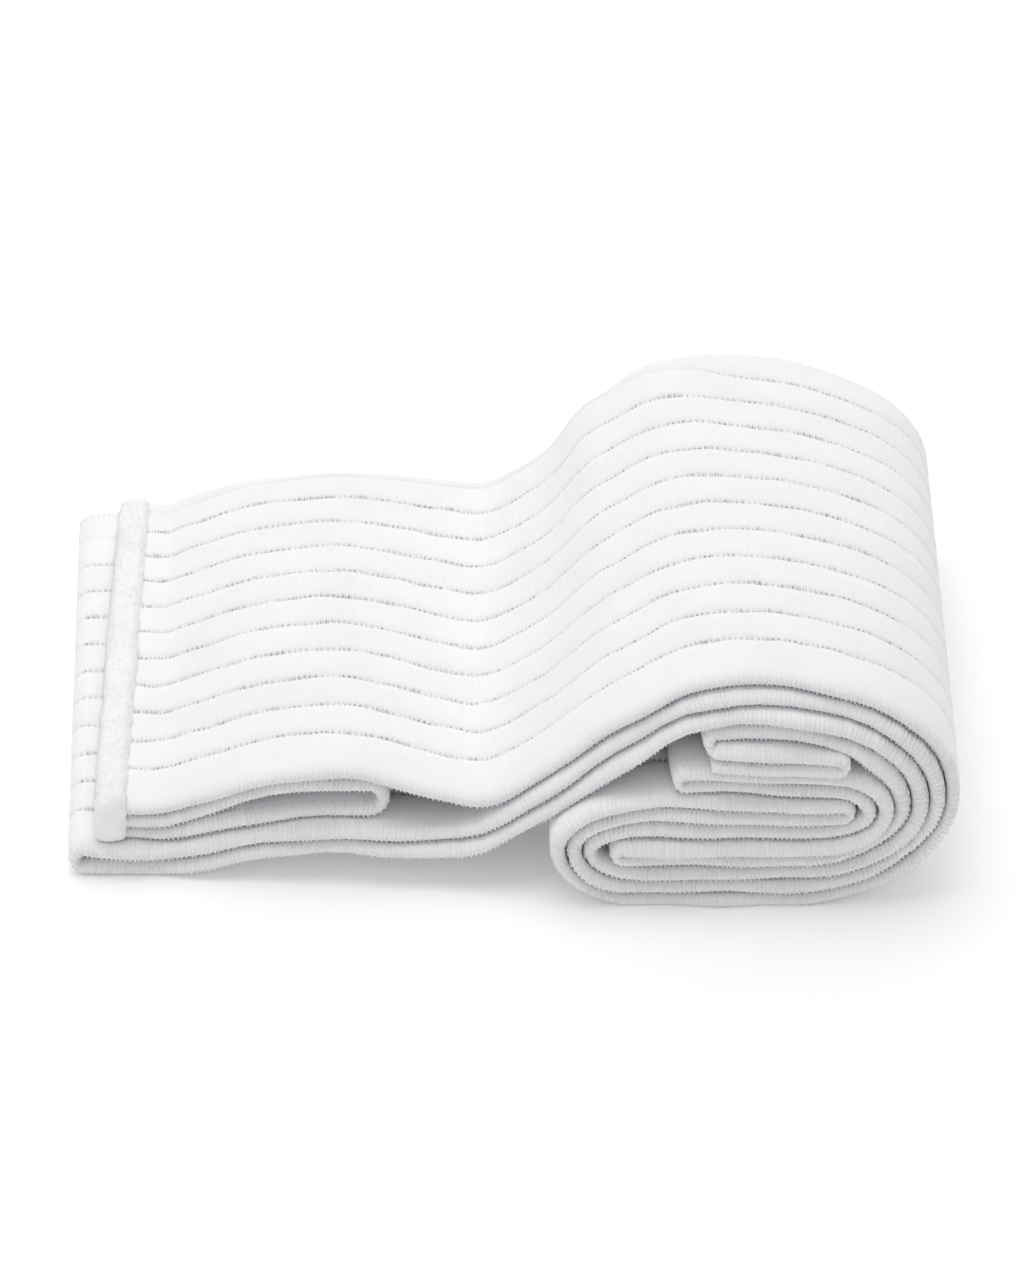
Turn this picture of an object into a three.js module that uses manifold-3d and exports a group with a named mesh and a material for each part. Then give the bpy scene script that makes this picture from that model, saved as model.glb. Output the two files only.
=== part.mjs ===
// Compression wrap bandage, lying on a table: one long elastic strip, folded flat at its outer end and
// wound into a flat coil at its inner end, with a fuzzy binding over the outer end. Millimetres, +Z up.
// X runs along the strip's lay from the folded end to the coil, and Y across the strip from its near edge.
import * as THREE from "three";
import { mergeVertices } from "three/addons/utils/BufferGeometryUtils.js";
import Module from "manifold-3d";

// Strip
const WIDTH = 80;
const WALL = 1.15;

// Binding over the strip's outer end
const BINDING_WALL = 0.9;
const BINDING_GAP = 0.3;
const BINDING_X = { left: -48.9, right: -44.9 };
const BINDING_Z = { low: 4.1, top: 9.6 };
const BINDING_ROUND = 0.7;
const BINDING_EDGE = 8.9;

// Lie of the far margin along X: how far it sags, what share of its width is left where it is drawn in,
// and how far it is shifted along X. At the folded end only what lies above the fold is drawn in and shifted.
const FAR_MARGIN = [
  { x: -46, sag: 1.3, keep: 0.4, shift: 2.0 },
  { x: -36, sag: 1.5, keep: 0.4, shift: -1.6 },
  { x: -22, sag: 1.5, keep: 0.2, shift: -0.6 },
  { x: -4, sag: 0.3, keep: 0.25, shift: 0.0 },
  { x: 3, sag: 0.2, keep: 0.18, shift: -0.5 },
  { x: 14, sag: 0.1, keep: 0.1, shift: -4.2 },
  { x: 22, sag: 0.1, keep: 0.3, shift: -5.5 },
  { x: 33, sag: 1.1, keep: 1.0, shift: -4.8 },
  { x: 50, sag: 1.5, keep: 1.0, shift: -2.6 },
];
const SAG_REACH = { start: 28, whole: 74 };
const GATHER_START = 80;
const UPPER = { alone: -40, shared: -30, blend: 0.1 };

// Bezier handle lengths as a share of the span: a round quarter turn, the coil's fuller shoulders, a run
const ROUND = 0.552;
const FULL = 0.62;
const RUN = 0.4;

// Mesh fineness: longest step along the strip, steps in a quarter turn, and the stations across it
const STEP = 5;
const QUARTER_STEPS = 6;
const ACROSS = [0, 40, 58, 70.7, 75, WIDTH];

// Layers of the coil from the table up: height of the layer's middle at its left and right ends, and how
// far its near edge is set back from the nearest one
const LAYERS = [
  { layer: 1, left: 0.6, right: 0.6, edge: 0.5 },
  { layer: 2, left: 2.2, right: 2.25, edge: 0.6 },
  { layer: 3, left: 3.85, right: 3.9, edge: 0.8 },
  { layer: 4, left: 5.5, right: 5.55, edge: 1.0 },
  { layer: 5, left: 7.3, right: 7.2, edge: 0.0 },
  { layer: 6, left: 9.5, right: 8.9, edge: 1.3 },
  { layer: 7, left: 11.2, right: 10.55, edge: 1.3 },
  { layer: 8, left: 12.9, right: 12.2, edge: 1.4 },
  { layer: 9, left: 14.5, right: 13.7, edge: 2.4 },
  { layer: 10, left: 16.1, right: 15.2, edge: 2.4 },
  { layer: 11, left: 17.6, right: 16.75, edge: 1.4 },
  { layer: 12, left: 19.05, right: 18.3, edge: 1.8 },
  { layer: 13, left: 20.65, right: 21.1, edge: 3.5 },
  { layer: 14, left: 22.8, right: 22.8, edge: 3.5 },
  { layer: 15, left: 24.5, right: 24.5, edge: 5.2 },
  { layer: 16, left: 26.2, right: 26.2, edge: 6.6 },
];

// Turns of the coil in the order that the strip makes them, from the outside in: the layers that each
// joins, the tip of the turn, and where along X it leaves one layer and reaches the next
const OUTER_TURNS = [
  { side: "right", from: 16, to: 1, tipX: 50.4, tipZ: 13.0, fromX: 26.4, toX: 31.5 },
  { side: "left", from: 1, to: 8, tipX: 4.95, tipZ: 7.0, fromX: 13.8, toX: 18.0 },
  { side: "right", from: 8, to: 7, tipX: 38.5, tipZ: 11.4, fromX: 37.6, toX: 37.6 },
  { side: "left", from: 7, to: 2, tipX: 6.85, tipZ: 6.8, fromX: 17.0, toX: 13.0 },
  { side: "right", from: 2, to: 15, tipX: 48.6, tipZ: 12.6, fromX: 31.5, toX: 26.4 },
];
const INNER_TURNS = [
  { side: "right", from: 14, to: 3, tipX: 46.6, tipZ: 12.2, fromX: 26.4, toX: 32.5 },
  { side: "left", from: 3, to: 6, tipX: 8.8, tipZ: 6.6, fromX: 13.3, toX: 15.6 },
  { side: "right", from: 6, to: 9, tipX: 40.8, tipZ: 11.5, fromX: 35.4, toX: 37.3 },
  { side: "left", from: 9, to: 10, tipX: 19.0, tipZ: 15.3, fromX: 19.9, toX: 19.9 },
  { side: "right", from: 10, to: 5, tipX: 42.65, tipZ: 11.7, fromX: 37.3, toX: 34.3 },
  { side: "left", from: 5, to: 4, tipX: 11.9, tipZ: 6.4, fromX: 12.9, toX: 12.9 },
  { side: "right", from: 4, to: 13, tipX: 44.5, tipZ: 11.9, fromX: 33.0, toX: 27.0 },
  { side: "left", from: 13, to: 12, tipX: 22.6, tipZ: 19.85, fromX: 23.5, toX: 23.5 },
  { side: "right", from: 12, to: 11, tipX: 37.9, tipZ: 17.5, fromX: 36.9, toX: 36.9 },
];
const INNER_END_X = 22.7;
const FULL_LAYER = 13; // turns into this layer and those above have full shoulders on the right

// Heights of the three long sheets between the folded end and the coil's top
const SHEETS = [
  { x: -46.3, lower: 0.75, middle: 3.05, top: 7.55 },
  { x: -40.5, lower: 0.7, middle: 2.85, top: 7.4 },
  { x: -35.9, lower: 1.4, middle: 3.4, top: 8.8 },
  { x: -29.1, lower: 3.1, middle: 4.8, top: 11.4 },
  { x: -21.1, lower: 4.1, middle: 5.8, top: 12.7 },
  { x: -14.6, lower: 4.0, middle: 5.7, top: 11.8 },
  { x: -8.5, lower: 4.1, middle: 5.8, top: 10.2 },
  { x: -3.4, lower: 5.1, middle: 6.9, top: 9.75 },
  { x: 3.0, lower: 9.2, middle: 11.1, top: 13.0 },
  { x: 9.8, lower: 14.3, middle: 16.4, top: 18.4 },
  { x: 14.4, lower: 17.5, middle: 19.6, top: 21.6 },
  { x: 20.0, lower: 21.3, middle: 23.05, top: 24.8 },
];
const SHEET_EDGES = { lower: 7.2, middle: 7.4, top: 9.3 };
const LEFT_FOLD = { tipX: -50.4, tipZ: 1.9, levelX: -49.1, upper: 3.1, lower: 0.75 };

// The strip's outer end, doubled back under the top sheet: heights of its upper and lower runs
const END_RUNS = [
  { x: -46.2, lower: 4.5, upper: 6.05 },
  { x: -40.0, lower: 4.5, upper: 6.0 },
  { x: -35.5, lower: 5.3, upper: 7.3 },
  { x: -30.0, lower: 6.6, upper: 9.5 },
  { x: -21.6, lower: 7.45, upper: 10.8 },
  { x: -16.8, lower: 7.6, upper: 10.7 },
];
const END_EDGES = { lower: 8.9, upper: 9.2 };
const END_FOLD = { tipX: -15.0, tipZ: 9.1 };
const END_TURN = { tipX: -47.1, tipZ: 6.8 };
const END_X = -46.9;

function ease(value, begin, end) {
  return THREE.MathUtils.smoothstep(value, begin, end);
}

// A point on the near edge of the strip's middle surface
function spot(x, edge, z) {
  return new THREE.Vector3(x, edge, z);
}

// A quarter turn between a point where the strip lies level and a tip where it stands upright
function quarter(level, tip, roundness) {
  const reach = tip.clone().sub(level);
  const levelHandle = level.clone().add(new THREE.Vector3(reach.x * roundness, 0, 0));
  const tipHandle = tip.clone().sub(new THREE.Vector3(0, 0, reach.z * roundness));
  return new THREE.CubicBezierCurve3(level, levelHandle, tipHandle, tip);
}

function reversed(curve) {
  return new THREE.CubicBezierCurve3(curve.v3, curve.v2, curve.v1, curve.v0);
}

// A run that lies level at both of its ends
function run(from, to) {
  const handle = new THREE.Vector3((to.x - from.x) * RUN, 0, 0);
  return new THREE.CubicBezierCurve3(from, from.clone().add(handle), to.clone().sub(handle), to);
}

// A half turn: a quarter into the tip and a quarter out of it
function turn(from, tipX, tipZ, to, fromRound = ROUND, toRound = ROUND) {
  const tip = spot(tipX, (from.y + to.y) / 2, tipZ);
  return [quarter(from, tip, fromRound), reversed(quarter(to, tip, toRound))];
}

// A smooth curve through points, level at its last one
function through(points) {
  const last = points.length - 1;
  const slope = (i) => {
    if (i === last) return new THREE.Vector3((points[last].x - points[last - 1].x) / 2, 0, 0);
    if (i === 0) return new THREE.Vector3((points[1].x - points[0].x) / 2, 0, 0);
    return points[i + 1].clone().sub(points[i - 1]).divideScalar(2);
  };
  return points.slice(1).map((point, i) => {
    const start = points[i];
    const leave = start.clone().add(slope(i).divideScalar(3));
    const arrive = point.clone().sub(slope(i + 1).divideScalar(3));
    return new THREE.CubicBezierCurve3(start, leave, arrive, point);
  });
}

// Where a turn of the coil meets a layer
function onLayer(number, side, x) {
  const row = LAYERS.find((entry) => entry.layer === number);
  return spot(x, row.edge, row[side]);
}

function coilTurn({ side, from, to, tipX, tipZ, fromX, toX }) {
  const shoulder = (number) => (side === "right" && number >= FULL_LAYER ? FULL : ROUND);
  const start = onLayer(from, side, fromX);
  const finish = onLayer(to, side, toX);
  return turn(start, tipX, tipZ, finish, shoulder(from), shoulder(to));
}

// One long sheet, from the folded end to where it joins a layer of the coil
function sheet(name, layer, joinX) {
  const join = onLayer(layer, "right", joinX);
  const first = SHEETS[0].x;
  const points = SHEETS.map((row) => {
    const share = ease(row.x, first, join.x);
    return spot(row.x, THREE.MathUtils.lerp(SHEET_EDGES[name], join.y, share), row[name]);
  });
  return through([...points, join]);
}

function endRun(name) {
  return through(END_RUNS.map((row) => spot(row.x, END_EDGES[name], row[name])));
}

function backwards(curves) {
  return curves.map(reversed).reverse();
}

const startOf = (curves) => curves[0].v0;
const endOf = (curves) => curves[curves.length - 1].v3;

// Adds curves to a route, with a level run wherever they don't start where the route has come to
function follow(route, curves) {
  if (route.length && endOf(route).distanceTo(startOf(curves)) > 1e-6) {
    route.push(run(endOf(route), startOf(curves)));
  }
  route.push(...curves);
}

// The strip's whole route, from its outer end to its inner end
function stripRoute() {
  const route = [];
  const lowerRun = endRun("lower");
  const upperRun = backwards(endRun("upper"));
  const top = sheet("top", 16, OUTER_TURNS[0].fromX);
  const middle = backwards(sheet("middle", 15, OUTER_TURNS[OUTER_TURNS.length - 1].toX));
  const lower = sheet("lower", 14, INNER_TURNS[0].fromX);
  follow(route, [run(spot(END_X, END_EDGES.lower, END_RUNS[0].lower), startOf(lowerRun))]);
  follow(route, lowerRun);
  follow(route, turn(endOf(lowerRun), END_FOLD.tipX, END_FOLD.tipZ, startOf(upperRun)));
  follow(route, upperRun);
  follow(route, turn(endOf(upperRun), END_TURN.tipX, END_TURN.tipZ, startOf(top)));
  follow(route, top);
  for (const row of OUTER_TURNS) follow(route, coilTurn(row));
  follow(route, middle);
  const foldFrom = spot(LEFT_FOLD.levelX, SHEET_EDGES.middle, LEFT_FOLD.upper);
  const foldTo = spot(LEFT_FOLD.levelX, SHEET_EDGES.lower, LEFT_FOLD.lower);
  follow(route, turn(foldFrom, LEFT_FOLD.tipX, LEFT_FOLD.tipZ, foldTo));
  follow(route, lower);
  for (const row of INNER_TURNS) follow(route, coilTurn(row));
  const innerEnd = endOf(route);
  const { edge, left } = LAYERS.find((row) => row.layer === INNER_TURNS[INNER_TURNS.length - 1].to);
  follow(route, [run(innerEnd, spot(INNER_END_X, edge, left))]);
  return route;
}

// Points along the route, closer together where it bends
function routePoints(route) {
  const points = [route[0].v0.clone()];
  for (const curve of route) {
    const bend = curve.getTangent(0).angleTo(curve.getTangent(1)) / (Math.PI / 2);
    const steps = Math.max(Math.ceil(curve.getLength() / STEP), Math.ceil(bend * QUARTER_STEPS));
    for (let i = 1; i <= steps; i += 1) points.push(curve.getPoint(i / steps));
  }
  return points;
}

// Height of one run or sheet, given as rows along X, at a place along X
function heightAt(rows, name, x) {
  const after = rows.findIndex((row) => row.x >= x);
  if (after === 0) return rows[0][name];
  if (after < 0) return rows[rows.length - 1][name];
  const [a, b] = [rows[after - 1], rows[after]];
  return THREE.MathUtils.mapLinear(x, a.x, b.x, a[name], b[name]);
}

const TOP_ROWS = [...SHEETS, { x: OUTER_TURNS[0].fromX, top: LAYERS[LAYERS.length - 1].left }];

// One column of the far margin's table at a place along X
function marginAt(name, x) {
  const after = FAR_MARGIN.findIndex((row) => row.x >= x);
  if (after === 0) return FAR_MARGIN[0][name];
  if (after < 0) return FAR_MARGIN[FAR_MARGIN.length - 1][name];
  const [a, b] = [FAR_MARGIN[after - 1], FAR_MARGIN[after]];
  return THREE.MathUtils.lerp(a[name], b[name], ease(x, a.x, b.x));
}

// Draws in and shifts the far margin, and lets it sag, shared out over the layers beneath
function lay(point) {
  const { x, y, z } = point;
  const top = heightAt(TOP_ROWS, "top", x);
  const split = (heightAt(END_RUNS, "lower", x) + heightAt(SHEETS, "middle", x)) / 2;
  const above = ease(z, split - UPPER.blend, split + UPPER.blend);
  const share = Math.max(above, ease(x, UPPER.alone, UPPER.shared));
  const keep = THREE.MathUtils.lerp(1, marginAt("keep", x), share);
  const across = y > GATHER_START ? GATHER_START + (y - GATHER_START) * keep : y;
  const reach = Math.max(0, (across - SAG_REACH.start) / (SAG_REACH.whole - SAG_REACH.start));
  const sag = marginAt("sag", x) * reach ** 2;
  const shift = marginAt("shift", x) * (across / WIDTH) * share;
  return new THREE.Vector3(x + shift, across, z * (1 - sag / top));
}

function geometryOf(positions, indices) {
  const geometry = new THREE.BufferGeometry();
  geometry.setAttribute("position", new THREE.Float32BufferAttribute(positions, 3));
  geometry.setIndex(indices);
  geometry.computeVertexNormals();
  return geometry;
}

// A closed solid from rings of equal length, each joined to the next, with both end rings filled in
function skin(rings, fill) {
  const around = rings[0].length;
  const positions = rings.flat().flatMap((point) => point.toArray());
  const indices = [];
  for (let r = 0; r + 1 < rings.length; r += 1) {
    for (let k = 0; k < around; k += 1) {
      const a = r * around + k;
      const b = r * around + ((k + 1) % around);
      indices.push(a, b + around, b, a, a + around, b + around);
    }
  }
  const last = (rings.length - 1) * around;
  for (const [a, b, c] of fill) {
    indices.push(a, b, c);
    indices.push(last + a, last + c, last + b);
  }
  return geometryOf(positions, indices);
}

// The strip: a wall of even thickness along the route
function stripGeometry() {
  const points = routePoints(stripRoute());
  const rings = points.map((point, i) => {
    const before = points[Math.max(i - 1, 0)];
    const after = points[Math.min(i + 1, points.length - 1)];
    const along = after.clone().sub(before).setY(0).normalize();
    const out = new THREE.Vector3(-along.z, 0, along.x).multiplyScalar(WALL / 2);
    const side = (sign) =>
      ACROSS.map((v) => lay(spot(point.x + sign * out.x, point.y + v, point.z + sign * out.z)));
    return [...side(1), ...side(-1).reverse()];
  });
  const columns = ACROSS.length;
  const fill = [];
  for (let k = 0; k + 1 < columns; k += 1) {
    const opposite = 2 * columns - 1 - k;
    fill.push([k, k + 1, opposite - 1], [k, opposite - 1, opposite]);
  }
  return skin(rings, fill);
}

// A solid of one outline in X and Z, carried across the strip through the given places in Y
function crosswise(outline, places) {
  const corners = outline.extractPoints(QUARTER_STEPS).shape;
  if (THREE.ShapeUtils.isClockWise(corners)) corners.reverse();
  const fill = THREE.ShapeUtils.triangulateShape(corners, []);
  const rings = places.map((y) => corners.map((corner) => lay(spot(corner.x, y, corner.y))));
  return skin(rings, fill);
}

// Rounded outline of the binding
function bindingOutline() {
  const { left, right } = BINDING_X;
  const { low, top } = BINDING_Z;
  const r = BINDING_ROUND;
  const outline = new THREE.Shape();
  outline.moveTo(right, low);
  outline.lineTo(right, top - r);
  outline.absarc(right - r, top - r, r, 0, Math.PI / 2);
  outline.absarc(left + r, top - r, r, Math.PI / 2, Math.PI);
  outline.lineTo(left, low);
  return outline;
}

// Outline of the room for the strip's end, open to the right and below
function roomOutline() {
  const left = BINDING_X.left + BINDING_WALL;
  const top = BINDING_Z.top - BINDING_WALL;
  const outline = new THREE.Shape();
  outline.moveTo(left, BINDING_Z.low - 0.1);
  outline.lineTo(BINDING_X.right + 1, BINDING_Z.low - 0.1);
  outline.lineTo(BINDING_X.right + 1, top);
  outline.lineTo(left, top);
  return outline;
}

const wasm = await Module();
wasm.setup();

function solidOf(geometry) {
  const bare = geometry.clone();
  bare.deleteAttribute("normal");
  const merged = mergeVertices(bare);
  return new wasm.Manifold(
    new wasm.Mesh({
      numProp: 3,
      vertProperties: new Float32Array(merged.attributes.position.array),
      triVerts: new Uint32Array(merged.index.array),
    }),
  );
}

// The binding: a tape folded over the strip's doubled end, closed at its near and far ends
function bindingGeometry() {
  const near = BINDING_EDGE - BINDING_GAP;
  const drawn = FAR_MARGIN[0].keep;
  const far = SHEET_EDGES.top + WIDTH + BINDING_GAP / drawn;
  const places = ACROSS.slice(1, -1).map((v) => v + SHEET_EDGES.top);
  const outside = [near - BINDING_WALL, ...places, far + BINDING_WALL / drawn];
  const whole = solidOf(crosswise(bindingOutline(), outside));
  const room = solidOf(crosswise(roomOutline(), [near, ...places, far]));
  const mesh = whole.subtract(room).getMesh();
  return geometryOf([...mesh.vertProperties], [...mesh.triVerts]);
}

function piece(name, geometry, material) {
  const mesh = new THREE.Mesh(geometry, material);
  mesh.name = name;
  return mesh;
}

const knit = new THREE.MeshStandardMaterial({ color: 0xf1f1f4, roughness: 0.95, metalness: 0 });
const chenille = new THREE.MeshStandardMaterial({ color: 0xf5f5f7, roughness: 1, metalness: 0 });

const bandage = new THREE.Group();
bandage.add(piece("wrap_strip", stripGeometry(), knit));
bandage.add(piece("end_binding", bindingGeometry(), chenille));

// The origin is under the middle of the bandage, on the table
const box = new THREE.Box3().setFromObject(bandage);
const middle = box.getCenter(new THREE.Vector3());
bandage.position.set(-middle.x, -middle.y, -box.min.z);

export default bandage;
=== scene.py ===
"""Compression wrap bandage, folded flat at its bound end and wound into a flat coil at the other."""

import math
import random
from collections import namedtuple

import bpy
import numpy as np
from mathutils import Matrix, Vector, noise


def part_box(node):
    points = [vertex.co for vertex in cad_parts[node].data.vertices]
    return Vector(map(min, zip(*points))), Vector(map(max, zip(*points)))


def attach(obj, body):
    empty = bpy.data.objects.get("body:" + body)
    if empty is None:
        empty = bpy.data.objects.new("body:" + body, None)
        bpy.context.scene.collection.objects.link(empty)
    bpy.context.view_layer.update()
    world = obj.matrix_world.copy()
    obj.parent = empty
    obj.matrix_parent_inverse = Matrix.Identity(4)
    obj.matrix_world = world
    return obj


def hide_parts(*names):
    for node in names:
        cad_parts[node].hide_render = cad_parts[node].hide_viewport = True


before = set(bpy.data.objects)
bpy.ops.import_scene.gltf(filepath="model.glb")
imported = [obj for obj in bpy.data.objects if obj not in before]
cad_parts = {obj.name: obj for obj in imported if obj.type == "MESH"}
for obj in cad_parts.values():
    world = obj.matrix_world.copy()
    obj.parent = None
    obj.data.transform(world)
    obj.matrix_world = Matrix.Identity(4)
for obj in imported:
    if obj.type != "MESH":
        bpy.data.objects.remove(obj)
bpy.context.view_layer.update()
strip_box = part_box("wrap_strip")

bl_info = {
    "name": "Compression Wrap Bandage",
    "version": (1, 0, 0),
    "blender": (4, 5, 0),
    "location": "View3D > Sidebar > Bandage",
    "description": "Models a folded elastic bandage with ladder lines, ribbed edges and a fuzzy bound end",
    "category": "Add Mesh",
}

MM = 0.001

# Layers of the coil from the table up, in millimetres: height of the layer's middle at its left and right
# ends, and how far its near edge is set back from the nearest one
Layer = namedtuple("Layer", "left right edge")
LAYERS = {
    1: Layer(0.6, 0.6, 0.5),
    2: Layer(2.2, 2.25, 0.6),
    3: Layer(3.85, 3.9, 0.8),
    4: Layer(5.5, 5.55, 1.0),
    5: Layer(7.3, 7.2, 0.0),
    6: Layer(9.5, 8.9, 1.3),
    7: Layer(11.2, 10.55, 1.3),
    8: Layer(12.9, 12.2, 1.4),
    9: Layer(14.5, 13.7, 2.4),
    10: Layer(16.1, 15.2, 2.4),
    11: Layer(17.6, 16.75, 1.4),
    12: Layer(19.05, 18.3, 1.8),
    13: Layer(20.65, 21.1, 3.5),
    14: Layer(22.8, 22.8, 3.5),
    15: Layer(24.5, 24.5, 5.2),
    16: Layer(26.2, 26.2, 6.6),
}

# Turns of the coil in the order that the strip makes them, from the outside in
Turn = namedtuple("Turn", "side start finish tip_x tip_z start_x finish_x")
OUTER_TURNS = [
    Turn("right", 16, 1, 50.4, 13.0, 26.4, 31.5),
    Turn("left", 1, 8, 4.95, 7.0, 13.8, 18.0),
    Turn("right", 8, 7, 38.5, 11.4, 37.6, 37.6),
    Turn("left", 7, 2, 6.85, 6.8, 17.0, 13.0),
    Turn("right", 2, 15, 48.6, 12.6, 31.5, 26.4),
]
INNER_TURNS = [
    Turn("right", 14, 3, 46.6, 12.2, 26.4, 32.5),
    Turn("left", 3, 6, 8.8, 6.6, 13.3, 15.6),
    Turn("right", 6, 9, 40.8, 11.5, 35.4, 37.3),
    Turn("left", 9, 10, 19.0, 15.3, 19.9, 19.9),
    Turn("right", 10, 5, 42.65, 11.7, 37.3, 34.3),
    Turn("left", 5, 4, 11.9, 6.4, 12.9, 12.9),
    Turn("right", 4, 13, 44.5, 11.9, 33.0, 27.0),
    Turn("left", 13, 12, 22.6, 19.85, 23.5, 23.5),
    Turn("right", 12, 11, 37.9, 17.5, 36.9, 36.9),
]
INNER_END_X = 22.7
FULL_LAYER = 13

# Heights of the three long sheets between the folded end and the coil's top
Sheet = namedtuple("Sheet", "x lower middle top")
SHEETS = [
    Sheet(-46.3, 0.75, 3.05, 7.55),
    Sheet(-40.5, 0.7, 2.85, 7.4),
    Sheet(-35.9, 1.4, 3.4, 8.8),
    Sheet(-29.1, 3.1, 4.8, 11.4),
    Sheet(-21.1, 4.1, 5.8, 12.7),
    Sheet(-14.6, 4.0, 5.7, 11.8),
    Sheet(-8.5, 4.1, 5.8, 10.2),
    Sheet(-3.4, 5.1, 6.9, 9.75),
    Sheet(3.0, 9.2, 11.1, 13.0),
    Sheet(9.8, 14.3, 16.4, 18.4),
    Sheet(14.4, 17.5, 19.6, 21.6),
    Sheet(20.0, 21.3, 23.05, 24.8),
]
SHEET_EDGES = {"lower": 7.2, "middle": 7.4, "top": 9.3}
Fold = namedtuple("Fold", "tip_x tip_z level_x upper lower")
LEFT_FOLD = Fold(-50.4, 1.9, -49.1, 3.1, 0.75)

# The strip's outer end, doubled back under the top sheet
EndRun = namedtuple("EndRun", "x lower upper")
END_RUNS = [
    EndRun(-46.2, 4.5, 6.05),
    EndRun(-40.0, 4.5, 6.0),
    EndRun(-35.5, 5.3, 7.3),
    EndRun(-30.0, 6.6, 9.5),
    EndRun(-21.6, 7.45, 10.8),
    EndRun(-16.8, 7.6, 10.7),
]
END_EDGES = {"lower": 8.9, "upper": 9.2}
END_FOLD_TIP = (-15.0, 9.1)
END_TURN_TIP = (-47.1, 6.8)
END_X = -46.9

# Lie of the far margin along X: how far it sags, what share of its width is left where it is drawn in, and
# how far it is shifted along X. At the folded end only what lies above the fold is drawn in and shifted.
Margin = namedtuple("Margin", "x sag keep shift")
FAR_MARGIN = [
    Margin(-46.0, 1.3, 0.4, 2.0),
    Margin(-36.0, 1.5, 0.4, -1.6),
    Margin(-22.0, 1.5, 0.2, -0.6),
    Margin(-4.0, 0.3, 0.25, 0.0),
    Margin(3.0, 0.2, 0.18, -0.5),
    Margin(14.0, 0.1, 0.1, -4.2),
    Margin(22.0, 0.1, 0.3, -5.5),
    Margin(33.0, 1.1, 1.0, -4.8),
    Margin(50.0, 1.5, 1.0, -2.6),
]
SAG_START, SAG_WHOLE = 28.0, 74.0
GATHER_START = 80.0
UPPER_ALONE, UPPER_SHARED, UPPER_BLEND = -40.0, -30.0, 0.1

# Bezier handles as a share of the span
ROUND = 0.552
FULL = 0.62
RUN = 0.4

# How much longer than round the section's two edges are
NOSE = 2.2

# Lean of the section's two edges, lower lip outwards, and how far in from the edge it reaches
LEAN, LEAN_REACH = 0.5, 2.8

# Share of a bend's radius that the inside of the wall may take up
BEND_ROOM = 0.9

# Unevenness of the selvedges and of the ladder lines, each as a long wave and a short one
SWAY_LONG, SWAY_SHORT = 0.24, 0.16
WANDER_LONG, WANDER_SHORT = 0.09, 0.06

# How far a ladder line stands open: a hairline where the strip is steep, then wider, with some flutter. Steep
# and level are given as the upright part of the cloth's normal.
HAIRLINE, OPENING, FLUTTER = 0.36, 0.54, 0.28
STEEP, LEVEL = 0.74, 0.985

# Shares of the far margin's width at which the last line is shut and whole, and how open it is when shut
LAST_SHUT, LAST_WHOLE, SHUT = 0.55, 0.9, 0.04

# The solid's own wall, which places the origin
SOLID_WALL = 1.15

# The least that anything is divided by
TINY = 1e-6


def millimetres(name, description, value):
    """A length that a user can change, with its default given in millimetres."""
    return bpy.props.FloatProperty(
        name=name, description=description, default=value * MM, precision=5, unit="LENGTH", subtype="DISTANCE"
    )


def tone(name, description, value):
    """A colour that a user can change."""
    return bpy.props.FloatVectorProperty(
        name=name, description=description, default=value, size=4, min=0.0, max=1.0, subtype="COLOR"
    )


def amount(name, description, value):
    """A plain number that a user can change."""
    return bpy.props.FloatProperty(name=name, description=description, default=value, min=0.0)


class BandageStrip(bpy.types.PropertyGroup):
    """Sizes and colours of the strip"""

    width: millimetres("Width", "Width of the strip", 80.0)
    wall: millimetres("Wall", "Thickness of the knit", 1.4)
    line_count: bpy.props.IntProperty(
        name="Lines", description="Ladder lines across the strip", default=11, min=1
    )
    line_pitch: millimetres("Line Pitch", "Distance between ladder lines", 6.4)
    line_margin: millimetres("Line Margin", "From the near edge to the first line", 8.9)
    line_half: millimetres("Line Half Width", "Half the width of a ladder line's groove", 0.55)
    line_depth: millimetres("Line Depth", "Depth of a ladder line's groove", 0.24)
    swell: millimetres("Swell", "How far the cloth swells between ladder lines", 0.1)
    rung_pitch: millimetres("Rung Pitch", "Distance between the threads of a ladder line", 0.62)
    rib_pitch: millimetres("Rib Pitch", "Distance between the ribs that wrap the selvedges", 0.54)
    rib_proud: millimetres("Rib Height", "How far a rib stands out of the selvedge", 0.14)
    knit_tone: tone("Knit", "Colour of the knit", (0.915, 0.912, 0.932, 1.0))
    # Painted shade: the grey-blue put deep in the ladder lines stands in for the shade seen through their
    # openings
    line_shade_tone: tone("Line", "Colour deep in a ladder line", (0.3, 0.3, 0.33, 1.0))
    thread_tone: tone("Thread", "Colour of the ladder threads", (0.9, 0.9, 0.915, 1.0))


class BandageBinding(bpy.types.PropertyGroup):
    """Sizes and colours of the binding"""

    left: millimetres("Left", "Place of the binding's left side along the strip", -48.4)
    width: millimetres("Width", "Width of the binding", 3.9)
    low: millimetres("Underside", "Height of the binding's lower edge", 4.05)
    height: millimetres("Height", "Height of the binding", 5.3)
    overhang: millimetres("Overhang", "How far its near end passes the strip's edge", 0.9)
    pile: millimetres("Pile", "Length of its fuzz", 0.42)
    fibre_count: bpy.props.IntProperty(name="Fibres", description="Fibres in its fuzz", default=13000, min=0)
    tape_tone: tone("Tape", "Colour of the binding", (0.955, 0.953, 0.965, 1.0))


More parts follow.
